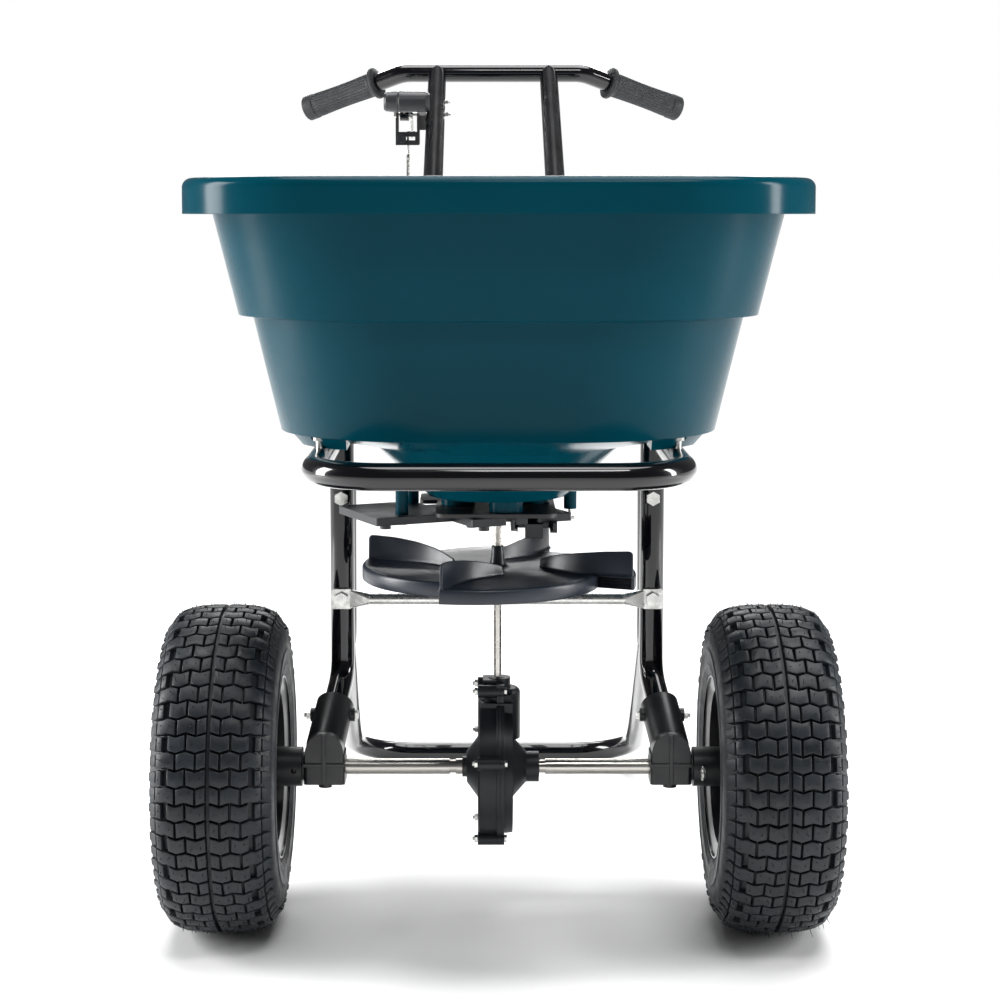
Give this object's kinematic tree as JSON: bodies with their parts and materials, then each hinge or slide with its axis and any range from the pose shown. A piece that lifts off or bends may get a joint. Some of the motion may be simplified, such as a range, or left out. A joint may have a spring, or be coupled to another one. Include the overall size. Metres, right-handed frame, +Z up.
{
  "type": "broadcast spreader",
  "caption": "Walk-behind rotary broadcast spreader: hopper on a tube frame, two pneumatic wheels, geared axle, impeller, shut-off lever and handle.",
  "frame": {"origin": "on the ground, under the middle of the machine's overall box", "axes": "+Z up; the front of the machine faces -Y and the handle is towards +Y; +X is the right side seen from in front, where the drive wheel is pinned to the axle"},
  "size_m": [0.672, 1.2666, 0.9407],
  "materials": {
    "hopper_plastic": "moulded teal polyethylene, semi-gloss",
    "frame_paint": "gloss black powder coat",
    "zinc": "zinc plated, slightly dull",
    "axle_steel": "bright drawn steel",
    "rod_steel": "dark plated wire",
    "bracket_plastic": "moulded black nylon",
    "bush_plastic": "plain dark acetal",
    "grip_rubber": "ribbed soft grip",
    "tyre_rubber": "turf tread tyre",
    "rim_paint": "satin black paint",
    "hub_plastic": "moulded black hub",
    "valve_rubber": "rubber stem and cap",
    "gearbox_plastic": "moulded charcoal nylon",
    "plate_plastic": "moulded dark plastic",
    "gate_plastic": "thin dark plastic sheet",
    "gauge_plastic": "moulded black bracket",
    "gear_nylon": "natural nylon gear",
    "impeller_plastic": "moulded blue-black plastic",
    "knob_plastic": "moulded dark knob"
  },
  "bodies": {
    "frame": {"axle_bracket_left": "bracket_plastic", "axle_bracket_right": "bracket_plastic", "axle_bush_left": "bush_plastic", "axle_bush_right": "bush_plastic", "brace_bolts": "zinc", "bracket_screw": "zinc", "cross_brace": "zinc", "gauge_bracket": "gauge_plastic", "gearbox_bushes": "bush_plastic", "gearbox_left": "gearbox_plastic", "gearbox_right": "gearbox_plastic", "gearbox_screws": "zinc", "handle_grip_left": "grip_rubber", "handle_grip_right": "grip_rubber", "handle_upright_left": "frame_paint", "handle_upright_right": "frame_paint", "handlebar": "frame_paint", "hopper": "hopper_plastic", "hopper_bolts": "zinc", "hopper_rail": "frame_paint", "leg_bolts": "zinc", "leg_left": "frame_paint", "leg_right": "frame_paint", "lever_pivot_bolt": "zinc", "port_plate": "plate_plastic", "port_plate_screws": "zinc", "rear_bolts": "zinc", "rear_cross_tube": "frame_paint", "shaft_bushes": "bush_plastic", "socket_screws": "zinc", "stand": "frame_paint"},
    "drive_axle": {"axle": "axle_steel", "drive_gear": "gear_nylon", "drive_gear_pin": "zinc", "tyre_right": "tyre_rubber", "wheel_rim_right": "rim_paint", "wheel_hub_right": "hub_plastic", "tyre_valve_right": "valve_rubber", "drive_wheel_cotter": "zinc", "wheel_retaining_pin": "zinc"},
    "left_wheel": {"tyre_left": "tyre_rubber", "wheel_rim_left": "rim_paint", "wheel_hub_left": "hub_plastic", "tyre_valve_left": "valve_rubber"},
    "spinner": {"agitator_shaft": "axle_steel", "pinion": "gear_nylon", "pinion_pin": "zinc", "impeller": "impeller_plastic", "impeller_pin": "zinc", "agitator": "zinc"},
    "control_lever": {"shutoff_lever": "frame_paint", "lever_knob": "knob_plastic", "lever_crank": "zinc"},
    "control_rod": {"control_rod": "rod_steel"},
    "shutoff_plate": {"shutoff_plate": "gate_plastic"},
    "pattern_slide": {"pattern_slide": "plate_plastic"},
    "rate_stop": {"rate_stop": "knob_plastic"}
  },
  "joints": [
    {"name": "axle_spin", "type": "hinge", "parent": "frame", "child": "drive_axle", "pos_m": [0, -0.38257, 0.165], "axis": [1, 0, 0], "continuous": true},
    {"name": "left_wheel_spin", "type": "hinge", "parent": "drive_axle", "child": "left_wheel", "pos_m": [-0.276, -0.38257, 0.165], "axis": [1, 0, 0], "continuous": true},
    {"name": "impeller_spin", "type": "hinge", "parent": "frame", "child": "spinner", "pos_m": [0, -0.38257, 0.33], "axis": [0, 0, 1], "continuous": true},
    {"name": "lever_swing", "type": "hinge", "parent": "frame", "child": "control_lever", "pos_m": [-0.12, 0.43705, 0.864], "axis": [-1, 0, 0], "range_deg": [0, 60]},
    {"name": "rod_travel", "type": "slide", "parent": "frame", "child": "control_rod", "axis": [0, -1, 0], "range_m": [0, 0.027]},
    {"name": "shutoff_travel", "type": "slide", "parent": "frame", "child": "shutoff_plate", "axis": [0, -1, 0], "range_m": [0, 0.027]},
    {"name": "pattern_travel", "type": "slide", "parent": "frame", "child": "pattern_slide", "axis": [0, -1, 0], "range_m": [0, 0.026]},
    {"name": "rate_stop_travel", "type": "slide", "parent": "frame", "child": "rate_stop", "axis": [1, 0, 0], "range_m": [0, 0.014]}
  ],
  "couplings": [
    {"joint": "impeller_spin", "follows": "axle_spin", "ratio": 5.8889},
    {"joint": "rod_travel", "follows": "lever_swing", "m_per_rad": 0.025783},
    {"joint": "shutoff_travel", "follows": "lever_swing", "m_per_rad": 0.025783}
  ]
}
